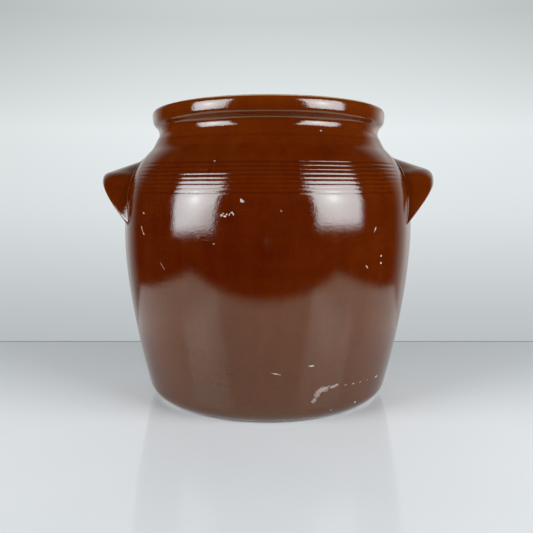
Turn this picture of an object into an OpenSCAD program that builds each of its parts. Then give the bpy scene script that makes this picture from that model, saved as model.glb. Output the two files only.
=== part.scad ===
// Confit pot: a stoneware storage pot with a grooved shoulder, a rolled rim and two lug handles.
// Millimetres, +Z up. The origin is the centre of the standing face, and the lugs point along X.

/* [Body] */
// Height from the standing face to the top of the lip
pot_height = 265; // [258:1:272]
// Diameter at the belly's widest line
belly_d = 265; // [258:1:272]
// How far the belly's widest line lies below the crease under the neck
belly_drop = 79.6; // [72:0.2:88]
// Radius of the belly's curve, seen from the side
belly_curve_r = 305; // [270:5:330]
// Radius of the shoulder's curve, seen from the side
shoulder_r = 74; // [66:1:82]
// Lean of the lower wall where it leaves the foot, in degrees
wall_lean = 14; // [8:0.5:20]
// How far up that lean pulls the lower wall
lean_pull = 45; // [20:1:70]
// How far down the belly's upright line pulls the lower wall
belly_pull = 40; // [20:1:70]
// Diameter of the flat underneath, inside the foot's round
base_d = 190; // [186:1:198]
// Radius of the round at the foot
foot_r = 17; // [12:1:20]
// Thickness of the wall
wall_t = 9; // [7:0.5:11]
// Thickness of the floor
floor_t = 11; // [9:0.5:16]
// Radius of the round inside, between the floor and the wall
inside_foot_r = 16; // [8:1:24]
// Width of the ring that the pot stands on, round a shallow hollow
ring_w = 15; // [6:1:40]
// Depth of that hollow
base_hollow_depth = 2; // [1:0.5:4]

/* [Neck and rim] */
// Diameter at the narrowest line of the neck
neck_d = 199.4; // [190:0.2:210]
// Radius of the neck's hollow
neck_curve_r = 11; // [9:0.5:13]
// How far the crease under the neck stands out past the neck's narrowest line
crease_step = 1.9; // [0.5:0.1:4]
// Height of the upright band in that crease
crease_h = 2.2; // [0.5:0.1:5]
// How far the rim stands out past the neck's narrowest line
rim_overhang = 6.1; // [3:0.1:9]
// Radius of the rim's roll
rim_roll_r = 11; // [9:0.5:13]
// Radius of the lip's round on the inside
lip_r = 3.8; // [2:0.1:6]

/* [Ring grooves] */
// Number of grooves turned round the shoulder
groove_count = 8; // [1:1:9]
// How far the top groove lies below the crease
groove_drop = 19.2; // [12:0.2:26]
// Height from one groove to the next
groove_pitch = 3.35; // [2.8:0.05:3.6]
// Radius of the turning tool's tip
groove_tip_r = 1.4; // [1.2:0.1:1.6]
// Depth of each groove
groove_depth = 0.6; // [0.3:0.1:1]

/* [Lug handles] */
// How far a lug's tip stands out past the belly
lug_overhang = 21; // [16:0.5:26]
// Radius of a lug's outer side, seen from above
lug_r = 63.5; // [60:0.5:67]
// How far below the crease a lug's upright side turns into its tip
lug_tip_drop = 33.4; // [28:0.2:38]
// Radius of the tip's round
lug_tip_r = 10; // [7:0.5:12]
// Angle over which the tip's round runs before the top takes over
lug_tip_angle = 48; // [40:1:56]
// Radius of the top's gentler curve
lug_top_r = 42; // [36:1:48]
// Slope of the underside
lug_under_slope = 45.5; // [40:0.5:50]
// How far the underside lies below the crease, at the belly's radius
lug_under_drop = 57.4; // [52:0.2:64]

/* [Luting slip] */
// Thickness of the slip between a lug and the wall
slip_t = 1.2; // [0.8:0.1:2]
// Width of the slip's bead round a lug
slip_bead_w = 3; // [1.5:0.5:4]

/* [Hidden] */

// The longest chord and the widest angle of one step of an arc, and the steps of the lower wall's curve
arc_chord = 4;
arc_step = 6;
flank_steps = 24;
// The direction that faces the pot's axis
inwards = 180;
$fn = 96;

// The profile's plane is [distance from the axis, height]. The rim's roll hangs from the pot's height,
// the neck from the roll, the crease from the neck and the belly from the crease. Arcs that meet are tangent.
neck_r = neck_d / 2;
roll_c = [neck_r + rim_overhang - rim_roll_r, pot_height - rim_roll_r];
neck_c = roll_c + rooted(neck_r + neck_curve_r - roll_c.x, neck_curve_r + rim_roll_r);
neck_end = acos(1 - crease_step / neck_curve_r);
crease = [neck_r + crease_step, neck_c.y - neck_curve_r * sin(neck_end) - crease_h];
belly_z = crease.y - belly_drop;
belly_c = [belly_d / 2 - belly_curve_r, belly_z];
shoulder_c = meeting(crease, shoulder_r, belly_c, belly_curve_r - shoulder_r);
shoulder_start = bearing(belly_c, shoulder_c);
foot_c = [base_d / 2, foot_r];
inside_low = foot_end(-wall_t);
inside_foot_z = floor_t + inside_foot_r;
inside_foot_c = [
    inside_low.x + (inside_foot_z - inside_low.y) * tan(wall_lean) - inside_foot_r / cos(wall_lean),
    inside_foot_z];
hollow_r = base_d / 2 - ring_w;
lug_axis_x = belly_d / 2 + lug_overhang - lug_r;
lug_tip_c = [lug_r - lug_tip_r, crease.y - lug_tip_drop];
lug_top_c = lug_tip_c - (lug_top_r - lug_tip_r) * heading(lug_tip_angle);

function heading(a) = [cos(a), sin(a)];
function bearing(from, to) = atan2(to.y - from.y, to.x - from.x);

// The step from one centre down to another at a known distance, where the step across is known
function rooted(across, distance) = [across, -sqrt(distance ^ 2 - across ^ 2)];

// The point at one distance from p and another from q, on the left going from p to q
function meeting(p, from_p, q, from_q) =
    let (span = norm(q - p), along = (from_p ^ 2 - from_q ^ 2 + span ^ 2) / (2 * span), u = (q - p) / span)
    p + along * u + sqrt(from_p ^ 2 - along ^ 2) * [-u.y, u.x];

// Points on an arc from angle a to angle b
function arc(centre, r, a, b) =
    let (n = ceil(max(abs(b - a) / arc_step, abs(b - a) * PI / 180 * r / arc_chord)))
    [for (i = [0 : n]) centre + r * heading(a + (b - a) * i / n)];

function turned(points) = [for (i = [len(points) - 1 : -1 : 0]) points[i]];

// The lower wall: a cubic curve that leaves the foot at its lean and is upright at the belly's widest line
function flank(from, to) =
    let (low = from + lean_pull * [sin(wall_lean), cos(wall_lean)], high = to - [0, belly_pull])
    [for (i = [0 : flank_steps - 1]) let (t = i / flank_steps, s = 1 - t)
        s ^ 3 * from + 3 * s ^ 2 * t * low + 3 * s * t ^ 2 * high + t ^ 3 * to];

// The line of the wall from a point at the foot up to the neck's angle top, moved outwards by grow
function wall_line(grow, from, top) =
    let (crease_r = crease.x + grow, shoulder_curve = shoulder_r + grow, neck_curve = neck_curve_r - grow)
    concat(
        flank(from, [belly_d / 2 + grow, belly_z]),
        arc(belly_c, belly_curve_r + grow, 0, shoulder_start),
        arc(shoulder_c, shoulder_curve, shoulder_start, acos((crease_r - shoulder_c.x) / shoulder_curve)),
        arc(neck_c, neck_curve, inwards + acos((neck_c.x - crease_r) / neck_curve), top));

function foot_end(grow) = foot_c + (foot_r + grow) * heading(-wall_lean);

// The outside from the standing face up to the middle of the lip
function outside_line() = concat(
    arc(foot_c, foot_r, -90, -wall_lean),
    wall_line(0, foot_end(0), bearing(neck_c, roll_c)),
    arc(roll_c, rim_roll_r, bearing(roll_c, neck_c), 90));

// The inside from the middle of the floor up to the middle of the lip
function inside_line() = concat(
    [[0, floor_t]],
    arc(inside_foot_c, inside_foot_r, -90, -wall_lean),
    wall_line(-wall_t, inside_foot_c + inside_foot_r * heading(-wall_lean), inwards),
    arc([roll_c.x, pot_height - lip_r], lip_r, inwards, 90));

function underside_line() = [
    [0, base_hollow_depth],
    [hollow_r - base_hollow_depth, base_hollow_depth],
    [hollow_r, 0]];

// Section of a lug about its own axis, moved outwards by grow
function lug_section(grow) = concat(
    [[0, 0], [lug_r + grow, 0]],
    arc(lug_tip_c, lug_tip_r + grow, 0, lug_tip_angle),
    arc(lug_top_c, lug_top_r + grow, lug_tip_angle, 90),
    [[0, lug_top_c.y + lug_top_r + grow]]);

// The grooves' round bottoms, in the profile's plane
module groove_tips() {
    for (i = [0 : groove_count - 1]) {
        rise = crease.y - groove_drop - i * groove_pitch - shoulder_c.y;
        translate(shoulder_c + (shoulder_r + groove_tip_r - groove_depth) * heading(asin(rise / shoulder_r)))
            circle(groove_tip_r);
    }
}

// Everything within the wall's outer line moved outwards by grow, in the profile's plane
module within_wall(grow) {
    line = wall_line(grow, foot_end(grow), inwards);
    polygon(concat([[0, line[0].y]], line, [[0, line[len(line) - 1].y]]));
}

// A lug's whole round before the wall is cut from it, moved outwards by grow, above its slanting underside
module lug_round(grow) {
    difference() {
        translate([lug_axis_x, 0, 0])
            rotate_extrude()
                polygon(lug_section(grow));
        translate([belly_d / 2, 0, crease.y - lug_under_drop])
            rotate([0, -lug_under_slope, 0])
                translate([-belly_d, -belly_d, -2 * belly_d - grow])
                    cube(2 * belly_d);
    }
}

module pot_body() {
    color("#6b2408")
        rotate_extrude()
            difference() {
                polygon(concat(underside_line(), outside_line(), turned(inside_line())));
                groove_tips();
            }
}

module lug_handle() {
    color("#612007")
        difference() {
            lug_round(0);
            rotate_extrude()
                within_wall(slip_t);
        }
}

// The slip's outer face is the lug's seat, and its inner face keys into the grooves
module luting_slip() {
    color("#7a3312")
        intersection() {
            lug_round(slip_bead_w);
            rotate_extrude()
                difference() {
                    within_wall(slip_t);
                    difference() {
                        within_wall(0);
                        groove_tips();
                    }
                }
        }
}

module right_lug_handle() { lug_handle(); }
module left_lug_handle() { mirror([1, 0, 0]) lug_handle(); }
module right_luting_slip() { luting_slip(); }
module left_luting_slip() { mirror([1, 0, 0]) luting_slip(); }

pot_body();
right_lug_handle();
left_lug_handle();
right_luting_slip();
left_luting_slip();
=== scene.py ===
"""A glazed stoneware confit pot with a grooved shoulder, a rolled rim and two crescent lug handles."""
import logging
import math
from dataclasses import dataclass
from enum import Enum
from functools import cached_property, reduce
from typing import Any, Optional, Sequence, Union

import bmesh
import bpy
import numpy as np
from mathutils import Matrix, Vector


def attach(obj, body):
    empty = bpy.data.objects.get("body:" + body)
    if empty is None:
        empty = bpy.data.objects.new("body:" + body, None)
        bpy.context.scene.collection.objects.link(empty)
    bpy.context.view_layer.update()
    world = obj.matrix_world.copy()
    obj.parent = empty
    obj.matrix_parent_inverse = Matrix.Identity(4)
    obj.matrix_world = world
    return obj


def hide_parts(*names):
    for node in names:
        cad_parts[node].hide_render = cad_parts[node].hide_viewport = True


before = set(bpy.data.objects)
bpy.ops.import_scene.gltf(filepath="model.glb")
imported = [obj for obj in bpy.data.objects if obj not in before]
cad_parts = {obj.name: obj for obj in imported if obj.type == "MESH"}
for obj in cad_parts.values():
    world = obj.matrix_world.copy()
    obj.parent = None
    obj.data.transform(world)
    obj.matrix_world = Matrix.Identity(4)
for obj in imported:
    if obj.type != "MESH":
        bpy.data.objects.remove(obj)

LOG = logging.getLogger("confit_pot")
MM = 0.001
# The spacing of the points of a profile, in mm
STEP = 0.2
RGB = tuple[float, float, float]
Array = np.ndarray
Socket = bpy.types.NodeSocket
Number = Union[float, "Value"]
Feed = Union[Number, Socket, Sequence[float]]


class Side(Enum):
    """The side of the pot that a lug sits on, as the sign of its x."""

    RIGHT = 1
    LEFT = -1


class Value:
    """A number that runs through a node tree, so that sums on it add Math nodes."""

    def __init__(self, graph: "Graph", socket: Socket) -> None:
        """Wraps an output socket of a graph."""
        self.graph = graph
        self.socket = socket

    def __add__(self, other: Number) -> "Value":
        """Adds."""
        return self.graph.math("ADD", self, other)

    def __sub__(self, other: Number) -> "Value":
        """Takes away."""
        return self.graph.math("SUBTRACT", self, other)

    def __mul__(self, other: Number) -> "Value":
        """Multiplies."""
        return self.graph.math("MULTIPLY", self, other)

    def __truediv__(self, other: Number) -> "Value":
        """Divides."""
        return self.graph.math("DIVIDE", self, other)

    def least(self, other: Number) -> "Value":
        """Gives the smaller of the two."""
        return self.graph.math("MINIMUM", self, other)

    def most(self, other: Number) -> "Value":
        """Gives the larger of the two."""
        return self.graph.math("MAXIMUM", self, other)

    def step(self, low: float, high: float) -> "Value":
        """Eases from 0 at low to 1 at high, which may be the smaller of the two."""
        made = self.graph.node("MapRange", {"Value": self, "From Min": low, "From Max": high},
                               interpolation_type="SMOOTHSTEP")
        return Value(self.graph, made.outputs["Result"])


class Graph:
    """The node tree of a material or a world, written as expressions."""

    def __init__(self, owner: Union[bpy.types.Material, bpy.types.World]) -> None:
        """Empties the owner's tree and starts on it."""
        owner.use_nodes = True
        self.tree = owner.node_tree
        self.tree.nodes.clear()

    def feed(self, socket: Socket, value: Feed) -> None:
        """Links an input to a value in the tree, or sets it to a number, a vector or a colour."""
        if isinstance(value, Value):
            value = value.socket
        if isinstance(value, Socket):
            self.tree.links.new(value, socket)
        else:
            socket.default_value = (*value, 1.0) if socket.type == "RGBA" else value

    def node(self, kind: str, sockets: dict[Union[str, int], Feed], **settings: Any) -> bpy.types.Node:
        """Adds one node.

        Args:
            kind: The node's type, without the ShaderNode that all of them start with.
            sockets: The values or links of its inputs, by name or number.
            settings: Its properties, which are set first.

        Returns:
            The new node.
        """
        made = self.tree.nodes.new("ShaderNode" + kind)
        for key, value in settings.items():
            setattr(made, key, value)
        for key, value in sockets.items():
            self.feed(made.inputs[key], value)
        return made

    def math(self, operation: str, a: Number, b: Number) -> Value:
        """Adds one Math node on two values."""
        return Value(self, self.node("Math", {0: a, 1: b}, operation=operation).outputs[0])

    def place(self, kind: str = "Object") -> Socket:
        """Adds coordinates of a kind."""
        return self.node("TexCoord", {}).outputs[kind]

    def part(self, place: Socket, axis: str) -> Value:
        """Gives a place's coordinate along one axis."""
        return Value(self, self.node("SeparateXYZ", {0: place}).outputs[axis])

    def layer(self, name: str) -> Value:
        """Reads a float attribute of the mesh."""
        return Value(self, self.node("Attribute", {}, attribute_name=name).outputs["Fac"])

    def noise(self, place: Socket, scale: float, detail: float = 2.0, rough: float = 0.5) -> Value:
        """Adds a noise of about 1 / scale metres at a place, from 0 to 1."""
        sockets = {"Vector": place, "Scale": scale, "Detail": detail, "Roughness": rough}
        return Value(self, self.node("TexNoise", sockets).outputs[0])

    def stretch(self, place: Feed, scale: RGB) -> Socket:
        """Multiplies a place by a scale along each axis."""
        return self.node("VectorMath", {0: place, 1: scale}, operation="MULTIPLY").outputs["Vector"]

    def mix(self, factor: Number, a: Feed, b: Feed) -> Socket:
        """Mixes colour a into colour b by a factor that is kept between 0 and 1."""
        return self.node("Mix", {0: factor, 6: a, 7: b}, data_type="RGBA", clamp_factor=True).outputs[2]

    def bump(self, height: Value) -> Socket:
        """Gives the normal over a relief of a height in metres."""
        return self.node("Bump", {"Strength": 1.0, "Distance": 1.0, "Height": height}).outputs["Normal"]

    def blend(self, factor: Number, a: Socket, b: Socket) -> Socket:
        """Mixes shader a into shader b by a factor."""
        return self.node("MixShader", {0: factor, 1: a, 2: b}).outputs["Shader"]

    def show(self, shader: Socket) -> None:
        """Makes a shader the material's surface."""
        self.node("OutputMaterial", {"Surface": shader})


@dataclass(frozen=True)
class Mark:
    """A place where the glaze is gone, as an ellipse on the wall.

    The azimuth is in degrees from the front (-Y) towards +X, and lengths are in mm. A turn of 0 lays the
    long side level, and a positive turn raises its +X end. Where bare is below 1, some glaze is left.
    """

    azimuth: float
    height: float
    radius: float
    length: float
    width: float
    turn: float = 0.0
    bare: float = 1.0
    depth: float = 12.0

    def distance(self, graph: Graph, place: Socket) -> Value:
        """Adds the distance from the mark's centre, in its half sizes along, across and into the wall.

        Args:
            graph: The material's graph.
            place: Object coordinates.

        Returns:
            1 on the mark's outline, and less within it.
        """
        a, turn = math.radians(self.azimuth), math.radians(self.turn)
        out, up = Vector((math.sin(a), -math.cos(a), 0.0)), Vector((0.0, 0.0, 1.0))
        along = math.cos(turn) * Vector((math.cos(a), math.sin(a), 0.0)) + math.sin(turn) * up
        axes = Matrix((along, out.cross(along), out)).transposed()
        local = graph.node("Mapping", {
            "Vector": place,
            "Location": (out * self.radius + up * self.height) * MM,
            "Rotation": axes.to_euler(),
            "Scale": Vector((self.length, self.width, self.depth)) / 2 * MM,
        }, vector_type="TEXTURE")
        away = graph.node("VectorMath", {0: local.outputs["Vector"]}, operation="LENGTH")
        return Value(graph, away.outputs["Value"])


@dataclass(frozen=True)
class BareClay:
    """Unglazed stoneware: pale, matt and slightly gritty."""

    light: RGB = (0.76, 0.70, 0.66)
    dark: RGB = (0.41, 0.33, 0.28)
    roughness: float = 0.72
    grit: float = 0.00003

    def shader(self, graph: Graph, place: Socket) -> Socket:
        """Adds the clay's shader.

        Args:
            graph: The material's graph.
            place: Object coordinates.

        Returns:
            The shader's output.
        """
        grain = graph.noise(place, 900.0, 3.0, 0.6)
        cloud = graph.noise(place, 120.0)
        return graph.node("BsdfPrincipled", {
            "Base Color": graph.mix((grain * 0.7 + cloud * 0.6).step(0.35, 0.95), self.dark, self.light),
            "Roughness": self.roughness,
            "Normal": graph.bump(grain * self.grit),
        }).outputs["BSDF"]


@dataclass(frozen=True)
class IronGlaze:
    """A glossy red-brown glaze that breaks to amber where it lies thinly and goes dark where it pools.

    The heights of its relief are in metres: peel, grain, the wheel's rings and the slow swell. The marks'
    raggedness is in half sizes, and that of the foot's line in metres.
    """

    name: str
    deep: RGB = (0.076, 0.0070, 0.0003)
    amber: RGB = (0.19, 0.037, 0.002)
    pooled: RGB = (0.035, 0.0040, 0.0005)
    bare_lip: RGB = (0.50, 0.40, 0.26)
    ior: float = 1.78
    tint: RGB = (1.0, 0.95, 0.66)
    gloss: float = 0.040
    peel: float = 0.000034
    grain: float = 0.000055
    rings: float = 0.000010
    swell: float = 0.000030
    clay: BareClay = BareClay()
    marks: tuple[Mark, ...] = ()
    mark_ragged: float = 2.6
    foot_line: float = 0.0
    foot_ragged: float = 0.0016

    def bare(self, graph: Graph, place: Socket) -> Optional[Value]:
        """Adds the ragged mask of the places without glaze: in a mark, or below the foot's line.

        Args:
            graph: The material's graph.
            place: Object coordinates.

        Returns:
            1 on bare clay and 0 on glaze, or None where all is glazed.
        """
        ragged = graph.noise(place, 640.0, 2.0, 0.65) - 0.5
        masks = []
        for bare in sorted({mark.bare for mark in self.marks}):
            alike = (mark.distance(graph, place) for mark in self.marks if mark.bare == bare)
            masks.append((reduce(Value.least, alike) + ragged * self.mark_ragged).step(1.0, 0.8) * bare)
        if self.foot_line > 0:
            height = graph.part(place, "Z") + ragged * self.foot_ragged
            masks.append(height.step(self.foot_line * 1.3, self.foot_line))
        return reduce(Value.most, masks) if masks else None

    def material(self) -> bpy.types.Material:
        """Makes the glaze.

        Returns:
            A material that reads Object coordinates and the mesh attributes thin and pool.
        """
        made = bpy.data.materials.new(self.name)
        graph = Graph(made)
        place = graph.place()
        thin, pool = graph.layer("thin"), graph.layer("pool")
        cloud = graph.noise(place, 8.0)
        mottle = graph.noise(place, 55.0, 4.0, 0.6)
        runs = graph.noise(graph.stretch(place, (95.0, 95.0, 5.0)), 1.0, 3.0, 0.6)
        wheel = graph.noise(graph.stretch(place, (3.0, 3.0, 330.0)), 1.0, 3.0, 0.6)
        fleck = graph.noise(place, 950.0, 1.5)
        speck = graph.noise(place, 1150.0, 1.0)
        peel = graph.noise(place, 330.0)

        # The thinness attribute also carries painted light: lighter on the shoulder and neck, warmer on the
        # right-hand side.
        warm = thin * 0.75 + (cloud - 0.5) * 0.55 + (mottle - 0.5) * 0.34 + (runs - 0.5) * 0.30
        colour = graph.mix(warm + (wheel - 0.5) * 0.14 + 0.12, self.deep, self.amber)
        colour = graph.mix(fleck.step(0.66, 0.76) * 0.45, colour, self.amber)
        # The pooling attribute also carries painted shade, darker low on the wall near the foot.
        colour = graph.mix(pool * 0.8 + speck.step(0.66, 0.74) * 0.55, colour, self.pooled)
        colour = graph.mix(thin.step(0.68, 0.95) * (mottle + 0.35), colour, self.bare_lip)
        relief = peel * self.peel + fleck * self.grain + wheel * self.rings + mottle * self.swell
        shader = graph.node("BsdfPrincipled", {
            "Base Color": colour,
            "Roughness": mottle * 0.05 + self.gloss,
            "IOR": self.ior,
            "Specular Tint": self.tint,
            "Normal": graph.bump(relief),
        }).outputs["BSDF"]
        mask = self.bare(graph, place)
        graph.show(shader if mask is None else graph.blend(mask, shader, self.clay.shader(graph, place)))
        return made


def heading(degrees: Union[float, Array]) -> Array:
    """Gives the unit vector at an angle, as (across, up)."""
    a = np.radians(degrees)
    return np.stack((np.cos(a), np.sin(a)), -1)


def bearing(start: Array, end: Array) -> float:
    """Gives the angle from one point to another in degrees."""
    return math.degrees(math.atan2(end[1] - start[1], end[0] - start[0]))


def unit(vectors: Array) -> Array:
    """Gives vectors of length 1 in the same directions."""
    return vectors / np.linalg.norm(vectors, axis=-1, keepdims=True)


def arc(centre: Array, radius: float, start: float, end: float) -> Array:
    """Gives points on an arc, about STEP apart, as centre + radius * (cos a, sin a)."""
    count = max(4, math.ceil(abs(math.radians(end - start)) * radius / STEP))
    return centre + radius * heading(np.linspace(start, end, count + 1))


def cubic(start: Array, near: Array, far: Array, end: Array, count: int) -> Array:
    """Gives points on a cubic curve: ends and two pulls, weighted by the terms of ((1 - t) + t) cubed."""
    t = np.linspace(0, 1, count)[:, None]
    return (1 - t) ** 3 * start + 3 * (1 - t) ** 2 * t * near + 3 * (1 - t) * t ** 2 * far + t ** 3 * end


def ramp(value: Array, low: float, high: float) -> Array:
    """Gives the share of the way from low to high, between 0 and 1."""
    return np.clip((value - low) / (high - low), 0, 1)


def smooth(value: Array, low: float, high: float) -> Array:
    """Eases the share of the way from low to high: three times its square less twice its cube."""
    share = ramp(value, low, high)
    return share ** 2 * (3 - 2 * share)


def bell(value: Array, middle: Union[float, Array], width: float) -> Array:
    """Gives a bell of height 1 about a middle: e to the power of minus the squared distance in widths."""
    return np.exp(-((value - middle) / width) ** 2)


def run_of(line: Array) -> Array:
    """Gives the distance along a line of points at each of them."""
    return np.r_[0.0, np.cumsum(np.linalg.norm(np.diff(line, axis=0), axis=1))]


def read_off(at: Array, run: Array, line: Array) -> Array:
    """Reads a line of points off at places along it, where run gives the place of each of its points."""
    return np.stack([np.interp(at, run, column) for column in line.T], -1)


def running_mean(line: Array, width: float, reach: int) -> Array:
    """Gives the mean of each point and reach points to either side, by the weights of a normal curve."""
    weights = np.exp(-0.5 * (np.arange(-reach, reach + 1) / width) ** 2)
    return np.stack([np.convolve(column, weights / weights.sum(), "valid") for column in line.T], -1)


def patch(corners: Array, columns: int, rows: int) -> tuple[Array, Array, Array]:
    """Spans a sheet between four corners: each point is their mean, weighted by its shares u and v.

    Args:
        corners: The corners at (u, v) = (0, 0), (1, 0), (1, 1) and (0, 1).
        columns: Points along u.
        rows: Points along v.

    Returns:
        The points as a grid, and their shares u and v.
    """
    u, v = np.meshgrid(np.linspace(0, 1, columns), np.linspace(0, 1, rows), indexing="xy")
    a, b = u[..., None], v[..., None]
    points = (1 - b) * ((1 - a) * corners[0] + a * corners[1]) + b * ((1 - a) * corners[3] + a * corners[2])
    return points, u, v


def grid_faces(points: Array, close_rows: bool, close_columns: bool,
               flip: bool = False) -> list[list[int]]:
    """Gives the quads of a grid of points that are numbered row by row.

    Args:
        points: The grid.
        close_rows: Whether the last row joins the first.
        close_columns: Whether the last column joins the first.
        flip: Whether the faces are turned over.

    Returns:
        Four point numbers for each face.
    """
    rows, columns = points.shape[:2]
    i, j = np.meshgrid(
        np.arange(rows - (not close_rows)), np.arange(columns - (not close_columns)), indexing="ij")
    k, l = (i + 1) % rows, (j + 1) % columns
    corners = (i * columns + j, i * columns + l, k * columns + l, k * columns + j)
    faces = np.stack(corners, -1).reshape(-1, 4)
    return (faces[:, ::-1] if flip else faces).tolist()


def link(name: str, data: bpy.types.ID) -> bpy.types.Object:
    """Makes an object of some data at the origin and links it into the scene."""
    made = bpy.data.objects.new(name, data)
    bpy.context.scene.collection.objects.link(made)
    return made


def new_object(name: str, points: Array, faces: list[list[int]], material: bpy.types.Material,
               **layers: Array) -> bpy.types.Object:
    """Makes a smooth mesh object at the origin.

    Args:
        name: The object's name.
        points: Its vertices in metres.
        faces: Point numbers of each face.
        material: Its finish.
        layers: Values for each vertex, kept as float attributes under their names.

    Returns:
        The linked object.
    """
    mesh = bpy.data.meshes.new(name)
    mesh.from_pydata(points.reshape(-1, 3).tolist(), [], faces)
    mesh.polygons.foreach_set("use_smooth", np.ones(len(mesh.polygons), bool))
    for layer, values in layers.items():
        values = values.ravel().astype(np.float32)
        mesh.attributes.new(layer, "FLOAT", "POINT").data.foreach_set("value", values)
    mesh.materials.append(material)
    mesh.validate()
    mesh.update()
    return link(name, mesh)


def weld(piece: bpy.types.Object) -> None:
    """Merges the points that fall together and turns the faces outwards."""
    whole = bmesh.new()
    whole.from_mesh(piece.data)
    bmesh.ops.remove_doubles(whole, verts=whole.verts, dist=0.00003)
    bmesh.ops.dissolve_degenerate(whole, edges=whole.edges, dist=0.00001)
    bmesh.ops.recalc_face_normals(whole, faces=whole.faces)
    whole.to_mesh(piece.data)
    whole.free()


def hang(piece: bpy.types.Object, node: str) -> None:
    """Rides a piece on the one body, in the place of a CAD node."""
    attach(piece, "root")
    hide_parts(node)
    LOG.info("%s stands for %s: %d faces", piece.name, node, len(piece.data.polygons))


@dataclass
class PotBody:
    """The thrown body: foot, wall, grooved shoulder, neck, rolled rim and the same again inside. In mm.

    The pairs named _rise are the heights between which the wobble, the lean and the rim's waves set in. The
    neck's band is its middle height and its width.
    """

    glaze: IronGlaze
    pot_height: float = 265.0
    belly_d: float = 265.0
    belly_drop: float = 79.6
    belly_curve_r: float = 305.0
    shoulder_r: float = 74.0
    wall_lean: float = 14.0
    lean_pull: float = 45.0
    belly_pull: float = 40.0
    base_d: float = 190.0
    foot_r: float = 17.0
    wall_t: float = 9.0
    floor_t: float = 11.0
    inside_foot_r: float = 16.0
    ring_w: float = 15.0
    base_hollow_depth: float = 2.0
    neck_d: float = 199.4
    neck_curve_r: float = 11.0
    crease_step: float = 1.9
    crease_h: float = 2.2
    rim_overhang: float = 6.1
    rim_roll_r: float = 11.0
    lip_r: float = 3.8
    face_x: float = 106.4
    face_z: float = 257.05
    face_r: tuple[float, float] = (35.0, 12.5)
    face_angles: tuple[float, float] = (-7.5, 26.0)
    edge_r: float = 1.8
    edge_angle: float = 82.0
    under_r: float = 5.0
    hollow_x: float = 100.6
    hollow_r: tuple[float, float] = (6.0, 11.0)
    hollow_end: float = 21.0
    shoulder_end: float = 46.0
    top_drop: float = 0.8
    neck_fall: float = 4.2
    neck_band: tuple[float, float] = (243.0, 5.5)
    rim_fall: float = 3.0
    edge_fall: float = 1.6
    rim_wave: float = 0.45
    rim_rise: tuple[float, float] = (240.0, 265.0)
    tilt: float = 0.5
    lean: float = 1.2
    lean_rise: tuple[float, float] = (110.0, 230.0)
    wobble: float = 0.22
    wobble_rise: tuple[float, float] = (4.0, 64.0)
    soften: float = 0.7
    groove_drop: float = 19.2
    groove_pitch: float = 3.35
    groove_half_w: float = 0.72
    groove_depths: tuple[float, ...] = (0.26, 0.22, 0.15, 0.19, 0.13, 0.12, 0.09, 0.16)
    groove_swings: tuple[float, ...] = (0.40, 0.40, 0.35, 0.20, 0.15, 0.15, 0.20, 0.15)
    crease_line: tuple[float, float, float] = (2.4, 0.12, 0.9)
    columns: int = 280

    @cached_property
    def roll_c(self) -> Array:
        """Centre of the rim's roll."""
        across = self.neck_d / 2 + self.rim_overhang - self.rim_roll_r
        return np.array((across, self.pot_height - self.rim_roll_r))

    @cached_property
    def neck_c(self) -> Array:
        """Centre of the neck's hollow, tangent to the roll."""
        across = self.neck_d / 2 + self.neck_curve_r - self.roll_c[0]
        return self.roll_c + (across, -math.sqrt((self.neck_curve_r + self.rim_roll_r) ** 2 - across ** 2))

    @cached_property
    def crease(self) -> Array:
        """The corner where the shoulder meets the neck."""
        end = math.acos(1 - self.crease_step / self.neck_curve_r)
        height = self.neck_c[1] - self.neck_curve_r * math.sin(end) - self.crease_h
        return np.array((self.neck_d / 2 + self.crease_step, height))

    @cached_property
    def belly_c(self) -> Array:
        """Centre of the belly's curve."""
        return np.array((self.belly_d / 2 - self.belly_curve_r, self.crease[1] - self.belly_drop))

    @cached_property
    def shoulder_c(self) -> Array:
        """Centre of the shoulder's curve, tangent to the belly's and through the crease."""
        p, q, near, far = self.crease, self.belly_c, self.shoulder_r, self.belly_curve_r - self.shoulder_r
        span = np.linalg.norm(q - p)
        u = (q - p) / span
        along = (near ** 2 - far ** 2 + span ** 2) / (2 * span)
        return p + along * u + math.sqrt(near ** 2 - along ** 2) * np.array((-u[1], u[0]))

    @cached_property
    def foot_c(self) -> Array:
        """Centre of the foot's round."""
        return np.array((self.base_d / 2, self.foot_r))

    @cached_property
    def groove_z(self) -> Array:
        """Heights of the grooves."""
        return self.crease[1] - self.groove_drop - self.groove_pitch * np.arange(len(self.groove_depths))

    def foot_end(self, grow: float) -> Array:
        """Gives the point where the foot's round turns into the wall, moved outwards."""
        return self.foot_c + (self.foot_r + grow) * heading(-self.wall_lean)

    def wall(self, grow: float, start: Array, top: float) -> Array:
        """Gives the wall's line from the foot up to the neck, moved outwards.

        The lower wall is a cubic curve that leaves the foot at its lean and is upright at the belly.

        Args:
            grow: How far the line is moved outwards.
            start: Its point at the foot.
            top: The neck's angle at which it ends.

        Returns:
            Points as rows of (radius, height).
        """
        crease_r, shoulder, neck = self.crease[0] + grow, self.shoulder_r + grow, self.neck_curve_r - grow
        turn = bearing(self.belly_c, self.shoulder_c)
        ends = math.degrees(math.acos((crease_r - self.shoulder_c[0]) / shoulder))
        neck_low = 180 + math.degrees(math.acos((self.neck_c[0] - crease_r) / neck))
        low = start + self.lean_pull * heading(90 - self.wall_lean)
        belly = np.array((self.belly_d / 2 + grow, self.belly_c[1]))
        return np.vstack((
            cubic(start, low, belly - (0.0, self.belly_pull), belly, 700),
            arc(self.belly_c, self.belly_curve_r + grow, 0, turn),
            arc(self.shoulder_c, shoulder, turn, ends),
            arc(self.neck_c, neck, neck_low, top)))

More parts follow.
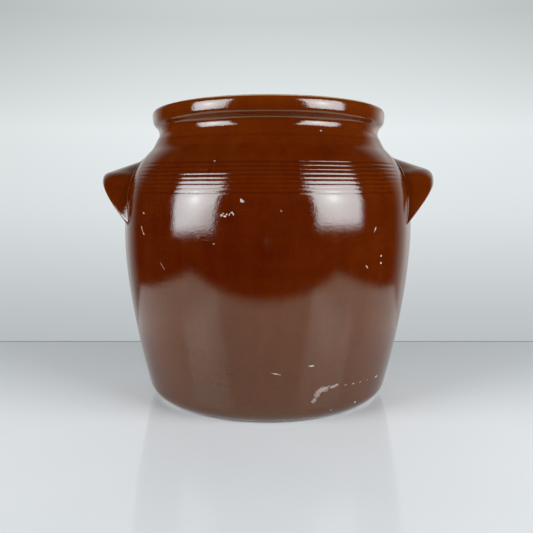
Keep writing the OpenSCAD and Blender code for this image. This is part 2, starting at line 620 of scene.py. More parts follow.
    def rim(self) -> Array:
        """Gives the neck and the rim as they were pulled by hand, from the shoulder to the top of the lip.

        A cubic curve leads from the shoulder's circle into the neck's hollow, which is wide below and tight
        above. The rim's underside is a tight round, its face nearly flat below and rounder above, and its
        edge a narrow round, and from there the top rises slightly inwards. All arcs are tangent.

        Returns:
            Points as rows of (radius, height).
        """
        low, high = self.face_angles
        flat, bowed = (np.array((self.face_x - r, self.face_z)) for r in self.face_r)
        under = flat + (self.face_r[0] - self.under_r) * heading(low)
        edge = bowed + (self.face_r[1] - self.edge_r) * heading(high)
        tight, wide = self.hollow_r
        across = self.hollow_x + tight - under[0]
        hollow = under + (across, -math.sqrt((tight + self.under_r) ** 2 - across ** 2))
        lower = hollow + (wide - tight, 0.0)
        start = self.shoulder_c + self.shoulder_r * heading(self.shoulder_end)
        end = lower + wide * heading(180 + self.hollow_end)
        pull = 0.36 * np.linalg.norm(end - start)
        near = start + pull * heading(self.shoulder_end + 90)
        far = end - pull * heading(self.hollow_end + 90)
        meet = bearing(hollow, under)
        return np.vstack((
            cubic(start, near, far, end, 90),
            arc(lower, wide, 180 + self.hollow_end, 180),
            arc(hollow, tight, 180, meet),
            arc(under, self.under_r, meet - 180, low),
            arc(flat, self.face_r[0], low, 0),
            arc(bowed, self.face_r[1], 0, high),
            arc(edge, self.edge_r, high, self.edge_angle),
            ((self.roll_c[0], self.pot_height - self.top_drop),)))

    def outside(self) -> Array:
        """Gives the outside from the middle of the underside to the top of the lip."""
        hollow, deep = self.base_d / 2 - self.ring_w, self.base_hollow_depth
        wall, rim = self.wall(0, self.foot_end(0), 180), self.rim()
        return np.vstack((
            ((0.0, deep), (hollow - deep, deep), (hollow, 0.0)),
            arc(self.foot_c, self.foot_r, -90, -self.wall_lean),
            wall[wall[:, 1] < rim[0, 1] - 0.05],
            rim))

    def inside(self) -> Array:
        """Gives the inside from the top of the lip down to the middle of the floor."""
        lean, r = math.radians(self.wall_lean), self.inside_foot_r
        low, rise = self.foot_end(-self.wall_t), self.floor_t + r
        foot = np.array((low[0] + (rise - low[1]) * math.tan(lean) - r / math.cos(lean), rise))
        lip = np.array((self.roll_c[0], self.pot_height - self.top_drop - self.lip_r))
        up = np.vstack((
            ((0.0, self.floor_t),),
            arc(foot, r, -90, -self.wall_lean),
            self.wall(-self.wall_t, foot + r * heading(-self.wall_lean), 180),
            arc(lip, self.lip_r, 180, 90)))
        return up[::-1]

    @cached_property
    def section(self) -> tuple[Array, Array]:
        """The whole section with its corners eased, and which of its points are outside.

        The line is read off every STEP, eased by a running mean with its two ends kept, and read off again
        at a spacing that is fine in the grooves and on the rim and wide on the plain wall.
        """
        outside = self.outside()
        line = np.vstack((outside, self.inside()))
        keep = np.r_[True, np.diff(run_of(line)) > 1e-6]
        run = run_of(line[keep])
        lip = run[keep[:len(outside)].sum() - 1]
        fine = np.arange(0, run[-1], STEP)
        even = read_off(fine, run, line[keep])
        reach, held = 60, 80
        eased = running_mean(np.pad(even, ((reach, reach), (0, 0)), mode="edge"), self.soften / STEP, reach)
        eased[:held], eased[-held:] = even[:held], even[-held:]
        z, out, top = eased[:, 1], fine <= lip, self.groove_z[0]
        grooved = out & (z > self.groove_z[-1] - 3) & (z < top + 3)
        flat = np.abs(np.gradient(z, fine)) < 0.02
        spacing = np.select(*zip(
            (grooved, 0.42), (out & (z >= 241), 0.42), (out & (z >= top), 1.0),
            (out & (z < 14) & ~flat, 1.3), (~out & (z > 225), 1.5), (flat, 9.0), (out, 4.0)), default=5.0)
        count = np.r_[0.0, np.cumsum(STEP / spacing[1:])]
        at = np.interp(np.arange(0, count[-1], 1.0), count, fine)[1:]
        return read_off(at, fine, eased), at <= lip

    def radius_at(self, height: Array) -> Array:
        """Gives the wall's outer radius at heights between the foot and the crease, in mm."""
        line = self.wall(0, self.foot_end(0), 200)
        order = np.argsort(line[:, 1])
        return np.interp(height, line[order, 1], line[order, 0])

    def lean_at(self, height: Array) -> Array:
        """Gives how far the pot leans towards +X: not at the foot, and in full from the shoulder up."""
        return self.lean * smooth(height, *self.lean_rise)

    def grooves(self, a: Array, z: Array) -> Array:
        """Gives the depth of the grooves and of the line in the crease, each a bell of the height.

        Round the pot a groove's depth swings with cos 2a, and its height drifts with sin a.

        Args:
            a: Angles about the axis, as a row.
            z: Heights, as a column.

        Returns:
            Depths in mm.
        """
        number = np.arange(len(self.groove_z))[:, None, None]
        depth, swing, height = (np.array(each)[:, None, None] for each in (
            self.groove_depths, self.groove_swings, self.groove_z))
        depth = depth * (1 + swing * np.cos(2 * a + 2.06 + 0.5 * np.maximum(number - 3, 0)))
        cut = depth * bell(z, height + 0.16 * np.sin(a + 0.8 * number), self.groove_half_w)
        up, deep, half_w = self.crease_line
        return cut.sum(0) + deep * bell(z, self.crease[1] + up, half_w) * (0.65 - 0.35 * np.sin(a) ** 2)

    def lift(self, a: Array, z: Array) -> Array:
        """Gives how far the neck and the rim are raised by hand.

        They lie highest at the front and fall towards the sides, by a share of 1 less the power 1.5 of
        -sin a. The rim also waves with cos 2a and cos 3a and is tilted a little.

        Args:
            a: Angles about the axis, as a row.
            z: Heights, as a column.

        Returns:
            Heights to add in mm.
        """
        rim, (middle, wide) = ramp(z, *self.rim_rise) ** 2, self.neck_band
        away = 1 - np.clip(-np.sin(a), 0, 1) ** 1.5
        wave = 0.6 * np.cos(2 * a - 0.4) + 0.4 * np.cos(3 * a + 1.2)
        fall = (self.rim_fall * rim + self.neck_fall * np.exp(-0.5 * ((z - middle) / wide) ** 2)
                + self.edge_fall * ramp(z, self.face_z, self.face_z + 7))
        return rim * (self.rim_wave * wave + self.tilt * np.cos(a)) - away * fall

    def coat(self, a: Array, z: Array, cut: Array, out: Array) -> tuple[Array, Array]:
        """Gives how thinly the glaze lies and how far it pools, with painted light and painted shade laid
        into both.

        It lies thinly on the rim's face and the ridges between the grooves, and thinnest on the lip. The
        shoulder and the neck are painted lighter, as painted light from above, and the right-hand side
        warmer and lighter, as painted light from the right. It pools in the grooves and in the crease, and
        low on the wall it is painted darker, as painted shade near the foot.

        Args:
            a: Angles about the axis, as a row.
            z: Heights, as a column.
            cut: Depths of the grooves.
            out: Which heights are outside, as a column.

        Returns:
            How thinly the glaze lies, with painted light, and how far it pools, with painted shade, from 0
            to 1.
        """
        right, beside = np.clip(np.cos(a), 0, 1), 0.6 + 0.4 * np.cos(a) ** 2
        band = np.exp(-((z - self.groove_z.mean()) / 14) ** 4)
        # The ridges' share that grows towards the right is painted light from the right.
        ridges = (1 - ramp(cut, 0, 0.1)) * band * beside * (0.24 + 0.16 * right)
        face = ramp(z, self.face_z - 3, self.face_z + 4) * (0.16 + 0.16 * np.cos(a + 0.7))
        # Painted light: the right-hand side is painted warmer and lighter, as light from the right.
        painted_right_light = 0.34 * right ** 2 * ramp(z, 90, 160)
        # The 0.28 on the shoulder and neck is painted light from above.
        thin = np.clip(0.28 * ramp(z, 205, 235) + (face + ridges + painted_right_light) * out, 0, 0.6)
        lip = ramp(z, self.face_z + 5.0, self.face_z + 5.7) * (0.9 + 0.1 * np.cos(a - 0.9))
        crease = 0.3 * bell(z, self.crease[1] + self.crease_line[0], 1.2) * out
        # The term low on the wall is painted shade near the foot; the rest is glaze pooling in the grooves
        # and crease.
        pool = 0.5 * ramp(cut, 0, 0.2) * beside + 0.5 * (1 - ramp(z, 0, 80)) + crease
        return np.clip(thin + lip, 0, 1), pool

    def build(self) -> None:
        """Turns the section about the axis: (r cos a, r sin a, z), with a slow wobble and grooves in r."""
        rows, out = self.section
        r, z, out = rows[:, :1], rows[:, 1:], out[:, None]
        a = np.linspace(0, 2 * math.pi, self.columns, endpoint=False)[None, :]
        along = unit(np.gradient(rows, axis=0))
        cut = self.grooves(a, z) * out
        wobble = 0.6 * np.cos(2 * a + 0.7 + z / 90) + 0.4 * np.cos(3 * a + 2.1 - z / 60)
        radius = r + self.wobble * ramp(z, *self.wobble_rise) * wobble - cut * along[:, 1:]
        height = z + cut * along[:, :1] + self.lift(a, z)
        points = np.stack((radius * np.cos(a) + self.lean_at(z), radius * np.sin(a), height), -1) * MM
        thin, pool = self.coat(a, z, cut, out)

        poles = np.array(((0, 0, self.base_hollow_depth), (0, 0, self.floor_t))) * MM
        around = np.arange(self.columns)
        after, pole = np.roll(around, -1), np.full(self.columns, radius.size)
        last = radius.size - self.columns
        caps = np.vstack((np.stack((pole, after, around), -1),
                          np.stack((pole + 1, last + around, last + after), -1)))
        piece = new_object(
            "pot_body_glazed", np.vstack((points.reshape(-1, 3), poles)),
            grid_faces(points, False, True) + caps.tolist(), self.glaze.material(),
            thin=np.r_[thin.ravel(), 0, 0], pool=np.r_[pool.ravel(), 0, 0])
        hang(piece, "pot_body")


@dataclass
class LugHandle:
    """A solid crescent lug: round about an upright axis of its own, cut off by a slanting underside. In mm.

    The top falls outwards at a slope and turns into the side with a round, which spreads over the top
    towards the two horns. There the side leans in and the top droops. The pairs named _ends are where such
    a change starts and is complete, as angles from the tip or, for the droop, as distances from the axis.
    """

    side: Side
    body: PotBody
    glaze: IronGlaze
    axis_x: float = 90.0
    core_r: float = 8.0
    reach: float = 63.9
    corner_z: float = 204.4
    top_slope: float = 19.0
    tip_r: float = 11.0
    horn_r: float = 17.0
    horn_angle: float = 52.0
    spread: float = 1.3
    side_lean: float = 30.0
    lean_angle: float = 38.0
    end_lean: float = 17.5
    lean_ends: tuple[float, float] = (48.0, 66.0)
    droop: float = 8.0
    droop_ends: tuple[float, float] = (15.0, 45.0)
    under_slope: float = 49.4
    under_z: float = 172.4
    arris_r: float = 1.5
    end_arris: float = 6.0
    arris_ends: tuple[float, float] = (52.0, 64.0)
    tip_arris: float = 8.5
    tip_drop: float = 1.2
    tip_angle: float = 48.0
    # How much warmer and lighter the whole lug is painted, as painted light from the right.
    amber: float = 0.0
    hand: float = 0.2
    sink: float = 2.0
    columns: int = 161
    counts: tuple[int, ...] = (14, 8, 12, 22, 14)
    seat_rows: int = 8

    def section(self, turn: Array, w: Array) -> Array:
        """Gives points of the lug's section at an angle about its axis.

        The section runs in five lengths: 0 the underside outwards, 1 the arris, 2 the side, 3 the round and
        4 the top inwards. The underside is a plane that dips at the tip, so in the section it is a line
        whose slope goes with the cosine of the angle. The side is upright at the tip, leans in beside it and
        rights itself where the horns end. The arris is an arc tangent to the underside and the side. The
        round is a parabola tangent to the side and the top. Its reach along the side is that of an arc whose
        radius is a power mean of the one asked for and the widest that fits, and its reach along the top
        grows from as much at the tip to more than twice it at the horns. The droop of the top fades out
        inwards, near the seam.

        Args:
            turn: Angles in radians, one per row.
            w: Places along the section, the length's number plus the share of it, as rows.

        Returns:
            Points as (x, y, z) in mm, on the right-hand side.
        """
        turn = turn[:, None]
        share = np.clip(w[..., None] - np.arange(5), 0, 1)
        length = np.clip(np.floor(w), 0, 4).astype(int)
        aside, r = np.abs(np.degrees(turn)), self.reach
        ease, near = smooth(aside, 0, self.horn_angle), 1 - smooth(aside, 0, self.tip_angle)
        e = (self.arris_r + (self.tip_arris - self.arris_r) * near
             + (self.end_arris - self.arris_r) * smooth(aside, *self.arris_ends))
        under = math.tan(math.radians(self.under_slope))
        slope = np.cos(turn) * under
        tilt = np.arctan(slope)
        beyond = self.axis_x + r * np.cos(turn) - self.body.belly_d / 2
        edge_z = self.under_z + beyond * under - self.tip_drop * near
        lean = np.radians(self.side_lean * smooth(aside, 0, self.lean_angle)
                          + (self.end_lean - self.side_lean) * smooth(aside, *self.lean_ends))
        trim = e * np.tan((math.pi / 2 - tilt + lean) / 2)
        out = self.core_r + share[..., 0] * (r - trim * np.cos(tilt) - self.core_r)
        arris = tilt - math.pi / 2 + share[..., 1] * (math.pi / 2 - tilt + lean)
        base_r, base_z = r - trim * np.sin(lean), edge_z + trim * np.cos(lean)

        fall = math.radians(self.top_slope)
        corner, steep, sloped = self.corner_z - self.droop * ease, np.tan(lean), math.tan(fall)
        meet_z = (corner + (r - base_r) * sloped - base_z * steep * sloped) / (1 - steep * sloped)
        meet_r = base_r - (meet_z - base_z) * steep
        half = np.tan((math.pi / 2 - fall - lean) / 2)
        asked = self.tip_r + (self.horn_r - self.tip_r) * ease
        fits = np.maximum(meet_z - base_z, 0.1) / np.cos(lean) / half
        down = half * (asked ** -4.0 + fits ** -4.0) ** -0.25
        side_r, side_z = meet_r + down * np.sin(lean), meet_z - down * np.cos(lean)
        end_r = np.maximum(meet_r - down * (1 + self.spread * ease) * math.cos(fall), self.core_r)
        end_z = corner + (r - end_r) * sloped
        s, t = share[..., 3], 1 - share[..., 3]
        top = end_r + (self.core_r - end_r) * share[..., 4]
        rho = np.choose(length, (
            out, base_r + e * (np.cos(arris) - np.cos(lean)), base_r + share[..., 2] * (side_r - base_r),
            t * t * side_r + 2 * s * t * meet_r + s * s * end_r, top))
        z = np.choose(length, (
            edge_z + slope * (out - r), base_z + e * (np.sin(arris) - np.sin(lean)),
            base_z + share[..., 2] * (side_z - base_z),
            t * t * side_z + 2 * s * t * meet_z + s * s * end_z, corner + (r - top) * sloped))
        z = z + self.droop * ease * (1 - smooth(rho, *self.droop_ends))
        rho = rho + self.hand * np.sin(2.3 * turn + 0.05 * z + self.side.value) * np.clip(rho / r, 0, 1)
        z = z + 0.6 * self.hand * np.sin(3.1 * turn - 0.06 * rho + 2 * self.side.value)
        return np.stack((self.axis_x + rho * np.cos(turn), rho * np.sin(turn), z), -1)

    def ends(self, turn: Array, sink: float) -> tuple[Array, Array]:
        """Finds where each section comes out of the wall, below and above.

        Args:
            turn: Angles about the lug's axis in radians.
            sink: How far under the wall's face the ends lie, in mm.

        Returns:
            The places along the section, equal where the section stays inside the wall.
        """
        w = np.linspace(0, 5, 1201)[None, :] * np.ones((len(turn), 1))
        p = self.section(turn, w)
        clear = np.hypot(p[..., 0], p[..., 1]) - self.body.radius_at(p[..., 2]) + sink
        outside = clear > 0
        final = w.shape[1] - 1
        first, last = outside.argmax(1), final - outside[:, ::-1].argmax(1)
        i = np.arange(len(turn))

        def crossing(a: Array, b: Array) -> Array:
            """Interpolates the place of the wall's face between two samples."""
            share = clear[i, a] / np.where(clear[i, a] == clear[i, b], 1, clear[i, a] - clear[i, b])
            return w[i, a] + np.clip(share, 0, 1) * (w[i, b] - w[i, a])

        low = crossing(np.maximum(first - 1, 0), first)
        high = crossing(last, np.minimum(last + 1, final))
        none, middle = ~outside.any(1), 2.5
        return np.where(none, middle, low), np.where(none, middle, high)

    def angles(self, sink: float) -> Array:
        """Gives angles about the lug's axis from horn to horn, closer together at the horns."""
        wide = np.radians(np.linspace(0, 90, 721))
        low, high = self.ends(wide, sink)
        widest = wide[np.flatnonzero(high > low)[-1]]
        return widest * np.sin(np.linspace(-math.pi / 2, math.pi / 2, self.columns))

    def placed(self, points: Array) -> Array:
        """Moves points from the right-hand side to the lug's own and leans them with the pot, in metres."""
        across = points[..., 0] * self.side.value + self.body.lean_at(points[..., 2])
        return np.stack((across, points[..., 1], points[..., 2]), -1) * MM

    def build(self) -> None:
        """Lays the sections side by side from horn to horn, each closed by a seat under the wall's face."""
        turn = self.angles(self.sink)
        low, high = self.ends(turn, self.sink)
        bounds = [np.clip(k, low, high)[:, None] for k in range(len(self.counts) + 1)]
        w = np.hstack([start + np.linspace(0, 1, count, endpoint=False) * (end - start)
                       for start, end, count in zip(bounds, bounds[1:], self.counts)] + [high[:, None]])
        points = self.section(turn, w)
        back = np.linspace(1, 0, self.seat_rows + 2)[1:-1]
        azimuth = np.arctan2(points[..., 1], points[..., 0])
        seat_a = azimuth[:, :1] + back * (azimuth[:, -1:] - azimuth[:, :1])
        seat_z = points[:, :1, 2] + back * (points[:, -1:, 2] - points[:, :1, 2])
        seat_r = self.body.radius_at(seat_z) - self.sink
        seat = np.stack((seat_r * np.cos(seat_a), seat_r * np.sin(seat_a), seat_z), -1)
        points = np.concatenate((points, seat), 1)

        # The amber share is painted light; the bells are glaze breaking on the arris and the round.
        thin = self.amber + 0.55 * bell(w, 1.5, 0.55) + 0.18 * bell(w, 3.5, 0.6)
        thin = np.hstack((thin, np.zeros_like(seat_r)))
        near = np.hypot(points[..., 0], points[..., 1]) - self.body.radius_at(points[..., 2])
        pool = 0.8 * np.exp(-np.clip(near, 0, 50) / 2.0)
        name = self.side.name.lower()
        faces = grid_faces(points, False, True, self.side is Side.RIGHT)
        piece = new_object(f"{name}_lug_glazed", self.placed(points), faces, self.glaze.material(),
                           thin=thin, pool=pool)
        weld(piece)
        hang(piece, f"{name}_lug_handle")


@dataclass
class LutingSlip:
    """The bead of slip that lutes a lug to the wall: a low rounded ridge along the seam. Sizes in mm."""

    lug: LugHandle
    glaze: IronGlaze
    half_w: float = 2.3
    rise: float = 0.9
    outwards: float = 1.1
    unevenness: float = 0.16
    taper: float = 22.0
    narrowest: float = 0.3
    samples: int = 320
    around: int = 14

    def seam(self) -> Array:
        """Gives the closed line where the lug comes out of the wall, evenly spaced and eased, in mm."""
        turn = self.lug.angles(0.0)
        under, over = (self.lug.section(turn, end[:, None])[:, 0] for end in self.lug.ends(turn, 0.0))
        loop = np.vstack((under, over[-2:0:-1], under[:1]))
        run = run_of(loop)
        even = read_off(np.linspace(0, run[-1], self.samples, endpoint=False), run, loop)
        reach = 9
        return running_mean(np.vstack((even[-reach:], even, even[:reach])), 3.0, reach)

    def build(self) -> None:
        """Carries a half-sunk oval along the seam: line + half_w cos b across + rise sin b out of the wall.

        The oval is a little uneven along the seam and tapers towards the seam's lowest part.
        """
        body, line = self.lug.body, self.seam()
        z, azimuth = line[:, 2], np.arctan2(line[:, 1], line[:, 0])
        cos, sin, radius = np.cos(azimuth), np.sin(azimuth), body.radius_at(z)
        out = unit(np.stack((cos, sin, body.radius_at(z - 0.5) - body.radius_at(z + 0.5)), -1))
        across = np.cross(out, unit(np.roll(line, -1, 0) - np.roll(line, 1, 0)))
        across *= np.sign(((line - line.mean(0)) * across).sum(1).mean())
        foot = np.stack((radius * cos, radius * sin, z), -1)
        s = np.linspace(0, 2 * math.pi, len(line), endpoint=False)
        width = 1 + self.unevenness * (np.sin(5 * s + self.lug.side.value) + 0.6 * np.sin(11 * s + 1.3))
        width *= self.narrowest + (1 - self.narrowest) * smooth(z - z.min(), 0, self.taper)
        b = np.linspace(0, 2 * math.pi, self.around, endpoint=False)
        aside = ((self.half_w * np.cos(b) + self.outwards) * width[:, None])[..., None]
        above = (self.rise * np.sin(b) * width[:, None])[..., None]
        points = foot[:, None] + aside * across[:, None] + above * out[:, None]
        every = np.ones((len(line), 1))
        thin = 0.55 * np.clip(np.sin(b), 0, 1) * every
        pool = np.clip(1 - np.abs(np.sin(b)) * 2.2, 0, 1) * every
        name = self.lug.side.name.lower()
        piece = new_object(f"{name}_slip_bead", self.lug.placed(points), grid_faces(points, True, True),
                           self.glaze.material(), thin=thin, pool=pool)
        weld(piece)
        hang(piece, f"{name}_luting_slip")


@dataclass(frozen=True)
class PaleGloss:
    """The table's finish: a pale, smooth, slightly clouded laminate. It is painted darker towards the front,
    as painted shade, and a painted shadow makes a dark line at its back edge.

    In the gloss of the pot its two sides show as a white ground.
    """

    back: float
    pale: RGB = (0.83, 0.88, 0.91)
    # The cloud's darker tone, and painted shade towards the front.
    dull_and_front_shade: RGB = (0.76, 0.805, 0.835)
    # Painted shadow: the dark line along the back edge where the table meets the ground.
    edge: RGB = (0.28, 0.30, 0.31)
    ior: float = 1.27
    roughness: float = 0.04
    side_white: float = 0.9

    def material(self) -> bpy.types.Material:
        """Makes the finish.

        Returns:
            A material on Object coordinates.
        """
        made = bpy.data.materials.new("pale_table")
        graph = Graph(made)
        place = graph.place()
        across, depth = graph.part(place, "X"), graph.part(place, "Y")
        cloud = graph.noise(place, 7.0, 3.0)
        # Painted shade: darker towards the front, paler towards the back.
        colour = graph.mix((cloud - 0.5) * 0.8 + depth.step(-0.32, 0.08), self.dull_and_front_shade, self.pale)
        # Painted shadow line along the back edge.
        colour = graph.mix(depth.step(self.back - 0.006, self.back - 0.003), colour, self.edge)
        gloss = graph.node("BsdfPrincipled", {
            "Base Color": colour, "Roughness": cloud * 0.02 + self.roughness, "IOR": self.ior})
        mirrored = Value(graph, graph.node("LightPath", {}).outputs["Is Glossy Ray"])
        white = graph.node("Emission", {"Color": graph.mix(cloud, self.dull_and_front_shade, self.pale)})
        graph.show(graph.blend(
            mirrored * (across * across).step(0.02, 0.09) * self.side_white,
            gloss.outputs["BSDF"], white.outputs["Emission"]))
        return made


def direction(azimuth: float, elevation: float) -> Array:
    """Gives the unit vector at an azimuth from -Y towards +X and an elevation, both in degrees."""
    a, e = math.radians(azimuth), math.radians(elevation)
    return np.array((math.sin(a) * math.cos(e), -math.cos(a) * math.cos(e), math.sin(e)))


@dataclass
class SoftBox:
    """A soft box in metres: a lamp for the light on things and a cloth with a bright place for the gloss.

    The corners are (azimuth, elevation) as seen from the pot: low outer, low inner, top inner and top
    outer. The shade is the cloth's level at its foot, its rise upwards, its fall inwards and its fall from
    the middle.
    """

    name: str
    corners: tuple[tuple[float, float], ...]
    hot: tuple[float, float]
    shade: tuple[float, float, float, float]
    radiance: float = 7.2
    even: float = 0.78
    glow: float = 2.8
    spark: float = 4.0
    spreads: tuple[float, float] = (0.09, 0.008)
    cast: RGB = (0.90, 1.02, 1.46)
    distance: float = 1.0
    target: tuple[float, float, float] = (0.0, 0.0, 0.18)
    points: int = 33

    def corner_points(self) -> Array:
        """Gives the four corners in metres."""
        return self.target + self.distance * np.stack([direction(*corner) for corner in self.corners])

    def lamp(self) -> None:
        """Hangs an area lamp of the cloth's mean size at its middle, turned to the pot."""
        low_out, low_in, top_in, top_out = self.corner_points()
        light = bpy.data.lights.new(self.name, "AREA")
        light.shape = "RECTANGLE"
        light.size = float(np.linalg.norm(low_out + top_out - low_in - top_in) / 2)
        light.size_y = float(np.linalg.norm(top_out + top_in - low_in - low_out) / 2)
        light.energy = self.radiance * math.pi * light.size * light.size_y
        made = link(self.name, light)
        made.location = self.corner_points().mean(0)
        away = Vector(made.location) - Vector(self.target)
        made.rotation_euler = away.to_track_quat("Z", "Y").to_euler()
        made.visible_camera = False
        made.visible_glossy = False

    def cloth(self) -> None:
        """Spans the cloth between its corners.

        The attribute glow is an even level, a wide glow and a small spark at the hot place. The level is cut
        off at 1: it rises with v, falls with u and falls with the square of u's distance from the middle.
        """
        points, u, v = patch(self.corner_points(), self.points, self.points)
        away = (u - self.hot[0]) ** 2 + (v - self.hot[1]) ** 2
        low, rise, inwards, bow = self.shade
        level = np.clip(low + rise * v - inwards * u - bow * (u - 0.5) ** 2, 0, 1)
        wide, small = (np.exp(-away / spread) for spread in self.spreads)
        glow = level * self.radiance * self.even + self.glow * wide + self.spark * small
        name = self.name + "_cloth"
        made = bpy.data.materials.new(name)
        graph = Graph(made)
        graph.show(graph.node("Emission", {
            "Color": graph.stretch(graph.layer("glow"), self.cast)}).outputs["Emission"])
        cloth = new_object(name, points, grid_faces(points, False, False), made, glow=glow)
        cloth.visible_camera = False
        cloth.visible_diffuse = False
        cloth.visible_shadow = False

    def build(self) -> None:
        """Sets up the lamp and its cloth."""
        self.lamp()
        self.cloth()


@dataclass
class Studio:
    """The table, the dark room before it, the pale ground behind, the lights and the camera, in metres."""

    table: tuple[tuple[float, float], ...] = ((-0.49, -0.355), (0.432, -0.365), (0.50, 0.19), (-0.49, 0.19))
    table_z: float = -0.0001
    room_r: float = 1.9
    room_opening: tuple[float, float] = (0.62, 0.90)
    room_turn: float = 3.5
    room_cloth: tuple[RGB, RGB] = ((0.018, 0.014, 0.008), (0.034, 0.028, 0.018))
    focal_px: float = 650.0
    image_px: float = 533.0
    camera_y: float = -0.61611
    camera_z: float = 0.18949
    camera_pitch: float = 6.69
    shift_px: float = -0.8
    ground_shades: tuple[tuple[float, RGB], ...] = (
        (0.000, (0.47, 0.50, 0.515)), (0.062, (0.545, 0.58, 0.59)), (0.173, (0.73, 0.775, 0.785)),
        (0.270, (0.82, 0.865, 0.875)), (0.394, (0.59, 0.63, 0.63)), (0.415, (0.60, 0.64, 0.64)),
        (0.470, (0.96, 0.98, 1.0)), (1.0, (0.98, 0.99, 1.0)))
    boxes: tuple[SoftBox, ...] = (
        SoftBox("left_soft_box", ((-70.5, -2.3), (-38.0, -1.5), (-34.0, 34.0), (-73.0, 30.0)),
                (0.50, 0.43), (1.16, 1.4, 0.74, 0.0)),
        SoftBox("right_soft_box", ((70.5, -1.4), (34.8, -0.5), (27.5, 33.5), (72.0, 30.0)),
                (0.60, 0.43), (1.0, 1.0, 0.0, 1.2)))

    def lay_table(self) -> None:
        """Lays the table: a level sheet between its four corners."""
        points, _, _ = patch(np.array([(*corner, self.table_z) for corner in self.table]), 9, 7)
        finish = PaleGloss(back=self.table[2][1])
        new_object("table", points, grid_faces(points, False, False), finish.material())

    def room(self) -> None:
        """Hangs the dark room: a sphere about +Y that fades out in a round towards the ground behind."""
        psi, phi = np.meshgrid(np.radians(np.linspace(20, 179, 44)),
                               np.linspace(0, 2 * math.pi, 64, endpoint=False), indexing="ij")
        way = np.stack((np.sin(psi) * np.cos(phi), np.cos(psi), np.sin(psi) * np.sin(phi)), -1)
        turn = math.radians(self.room_turn)
        across = way[..., 0] * math.cos(turn) - way[..., 1] * math.sin(turn)
        ahead = way[..., 0] * math.sin(turn) + way[..., 1] * math.cos(turn)
        wide = np.where(ahead > 0, np.hypot(across, way[..., 2]), 1.0)
        made = bpy.data.materials.new("dark_room")
        graph = Graph(made)
        cloth = graph.mix(graph.noise(graph.place(), 2.0), *self.room_cloth)
        matt = graph.node("BsdfDiffuse", {"Color": cloth}).outputs["BSDF"]
        clear = graph.node("BsdfTransparent", {}).outputs["BSDF"]
        graph.show(graph.blend(graph.layer("cover"), clear, matt))
        room = new_object("dark_room", self.room_r * way, grid_faces(way, False, True), made,
                          cover=ramp(wide, *self.room_opening))
        room.visible_camera = False

    def ground(self) -> None:
        """Sets the pale ground behind: brightest level with the pot, and greyer above and below."""
        world = bpy.data.worlds.new("pale_ground")
        bpy.context.scene.world = world
        graph = Graph(world)
        way = graph.place("Generated")
        rise, side = graph.part(way, "Z"), graph.part(way, "X")
        shade = graph.node("ValToRGB", {"Fac": (rise + 0.25) / 1.25})
        elements = shade.color_ramp.elements
        for _ in self.ground_shades[2:]:
            elements.new(1.0)
        for element, (place, colour) in zip(elements, self.ground_shades):
            element.position = place
            element.color = (*colour, 1.0)
        corner = (side * side).least(0.13) * (rise.most(0.0) * -4.0 - 0.3)
        dim = corner + side.least(0.4).most(-0.4) * 0.06 + (side * side).step(0.14, 0.4) * 0.36 + 1.0
        colour = graph.node("VectorMath", {0: shade.outputs["Color"], "Scale": dim}, operation="SCALE")
        back = graph.node("Background", {"Color": colour.outputs["Vector"], "Strength": 1.0})
        graph.node("OutputWorld", {"Surface": back.outputs["Background"]})

    def camera(self) -> None:
        """Stands the camera in front of the pot, looking along +Y and slightly down."""
        data = bpy.data.cameras.new("camera")
        data.sensor_width = 36.0
        data.lens = self.focal_px / self.image_px * data.sensor_width
        data.shift_x = self.shift_px / self.image_px
        made = link("camera", data)
        made.location = (0.0, self.camera_y, self.camera_z)
        made.rotation_euler = (math.radians(90 - self.camera_pitch), 0.0, 0.0)
        bpy.context.scene.camera = made

    def build(self) -> None:
        """Sets up everything round the pot."""
        self.camera()
        self.lay_table()
        self.room()
        self.ground()
        for box in self.boxes:
            box.build()
        bpy.context.scene.view_settings.view_transform = "Standard"
        LOG.info("studio: table, room and %d soft boxes", len(self.boxes))


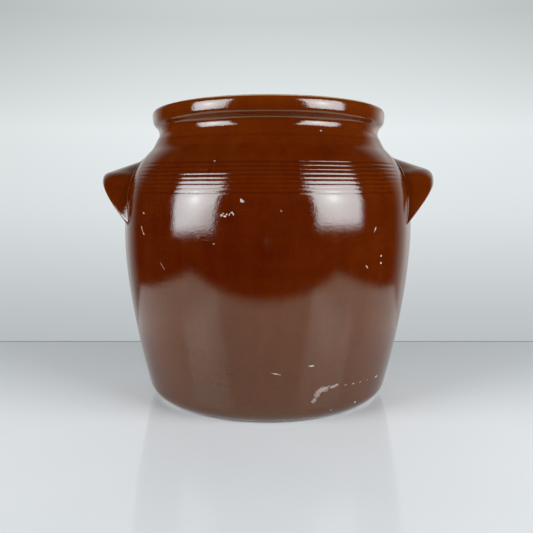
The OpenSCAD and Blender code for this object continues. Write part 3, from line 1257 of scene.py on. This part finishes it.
WALL_MARKS = (
    Mark(-8.2, 181.6, 130.7, 3.8, 2.0, -35.0),
    Mark(-15.1, 170.8, 131.8, 2.2, 1.4, 30.0),
    Mark(-14.5, 172.2, 131.8, 1.7, 1.0, -20.0),
    Mark(-14.0, 170.1, 131.8, 2.6, 1.5, -15.0),
    Mark(-13.4, 171.6, 131.8, 1.3, 1.0, 60.0),
    Mark(-12.4, 171.6, 131.7, 1.9, 0.9, 75.0),
    Mark(-11.7, 172.9, 131.7, 1.9, 0.9, 10.0),
    Mark(-11.1, 171.7, 131.7, 1.9, 0.9, -65.0),
    Mark(-50.3, 171.0, 131.8, 3.2, 0.8, -20.0),
    Mark(-51.2, 158.0, 132.4, 5.2, 0.9, -65.0),
    Mark(-50.0, 154.2, 132.5, 3.0, 0.9, -40.0),
    Mark(-39.4, 129.6, 131.8, 7.5, 0.9, -50.0, 0.3),
    Mark(40.2, 159.0, 132.4, 5.0, 0.8, 60.0),
    Mark(43.8, 137.0, 132.2, 1.8, 1.5),
    Mark(44.0, 131.2, 131.9, 1.9, 1.5),
    Mark(36.8, 129.2, 131.8, 3.6, 0.9, -45.0),
    Mark(24.2, 236.2, 99.9, 1.9, 1.5),
    Mark(-19.8, 211.8, 119.2, 1.3, 1.2, 0.0, 0.45),
    Mark(4.5, 174.2, 131.6, 1.5, 1.2, 0.0, 0.45),
    Mark(-17.8, 149.2, 132.5, 1.5, 1.2, 0.0, 0.45),
    Mark(16.8, 51.5, 120.3, 4.2, 1.2),
    Mark(3.0, 46.2, 119.2, 7.5, 0.8, -12.0),
    Mark(23.0, 29.6, 115.5, 12.0, 5.0, 8.0, 0.45),
    Mark(20.6, 26.0, 114.6, 9.5, 4.6, 60.0, 0.45),
    Mark(28.0, 31.4, 115.6, 9.0, 3.0, 16.0, 0.45),
    Mark(19.4, 20.8, 113.5, 5.0, 4.0, 50.0, 0.45),
    Mark(33.8, 30.4, 115.5, 2.4, 1.0, 10.0, 0.45),
    Mark(38.2, 29.8, 115.4, 2.8, 1.0, 0.0, 0.45),
    Mark(42.5, 29.6, 115.2, 2.2, 1.0, 10.0, 0.45),
    Mark(47.5, 29.2, 115.0, 2.6, 1.0, 10.0, 0.45),
    Mark(54.8, 28.6, 114.9, 3.2, 1.4, 15.0),
    Mark(28.5, 9.2, 110.0, 2.0, 1.2),
    Mark(42.0, 11.2, 110.9, 2.4, 1.5),
)


def main() -> None:
    """Builds the pot's pieces in order, then the studio, and notes both boxes."""
    logging.basicConfig(level=logging.INFO, format="%(name)s: %(message)s")
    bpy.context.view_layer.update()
    body = PotBody(IronGlaze("body_glaze", marks=WALL_MARKS, foot_line=0.0024))
    body.build()
    lug_glaze, slip_glaze = IronGlaze("lug_glaze"), IronGlaze("slip_glaze")
    lugs = (
        LugHandle(Side.RIGHT, body, lug_glaze, reach=64.1, corner_z=207.4, top_slope=18.0, tip_r=15.0,
                  horn_r=15.0, spread=1.2, end_lean=30.0, droop=8.5, under_slope=50.0, under_z=174.3,
                  # amber=0.3 paints the right lug warmer, as painted light from the right.
                  arris_r=0.8, end_arris=0.8, tip_arris=11.0, tip_drop=5.6, amber=0.3),
        LugHandle(Side.LEFT, body, lug_glaze),
    )
    for lug in lugs:
        lug.build()
        LutingSlip(lug, slip_glaze).build()
    Studio().build()


if __name__ == "__main__":
    main()
